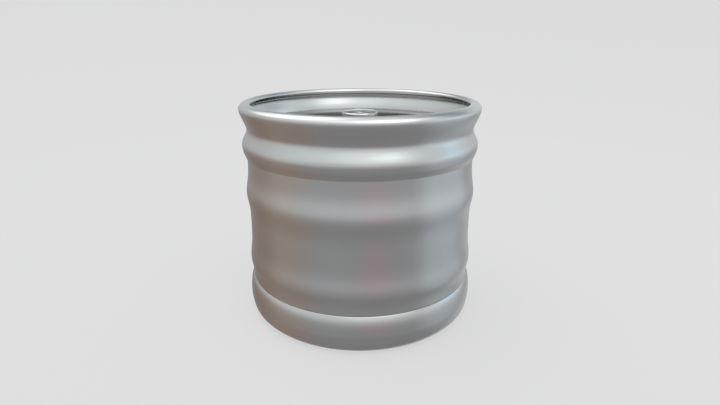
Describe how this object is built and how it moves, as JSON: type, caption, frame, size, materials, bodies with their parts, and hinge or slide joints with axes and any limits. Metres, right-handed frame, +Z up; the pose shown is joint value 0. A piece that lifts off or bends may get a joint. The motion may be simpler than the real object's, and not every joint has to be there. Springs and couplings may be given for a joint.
{
  "type": "beer keg",
  "caption": "Squat stainless beer keg with a rolled rim, waisted top chime, two rolled rings, foot band and a sprung spear valve in its neck.",
  "frame": {"origin": "middle of the ring that the keg stands on, on the floor", "axes": "+Z up along the keg's axis, towards the neck"},
  "size_m": [0.4052, 0.4052, 0.3693],
  "materials": {
    "satin_steel": "satin, softly worn",
    "weld_bead": "pickled weld bead",
    "bright_steel": "turned and polished",
    "spring_wire": "drawn wire",
    "black_rubber": "matt moulded rubber"
  },
  "bodies": {
    "keg": {"body_wall": "satin_steel", "top_dome": "satin_steel", "bottom_dome": "satin_steel", "top_chime": "satin_steel", "bottom_chime": "satin_steel", "top_seam_weld": "weld_bead", "bottom_seam_weld": "weld_bead", "top_chime_weld": "weld_bead", "bottom_chime_weld": "weld_bead", "neck_weld": "weld_bead", "neck": "bright_steel", "valve_housing": "bright_steel", "housing_seal": "black_rubber", "locking_ring": "bright_steel", "spring_basket": "bright_steel", "main_spring": "spring_wire"},
    "gas_valve": {"gas_seal": "black_rubber", "spring_plate": "bright_steel", "down_tube": "bright_steel", "ball_spring_seat": "bright_steel", "ball_spring": "spring_wire"},
    "beer_valve": {"valve_ball": "bright_steel"}
  },
  "joints": [
    {"name": "gas_valve_slide", "type": "slide", "parent": "keg", "child": "gas_valve", "axis": [0, 0, 1], "range_m": [-0.007, 0], "stiffness_N_per_m": 6000, "springref_m": 0.01, "deforming": ["main_spring"]},
    {"name": "beer_ball_slide", "type": "slide", "parent": "gas_valve", "child": "beer_valve", "axis": [0, 0, 1], "range_m": [-0.006, 0], "stiffness_N_per_m": 800, "springref_m": 0.006, "deforming": ["ball_spring"]}
  ]
}
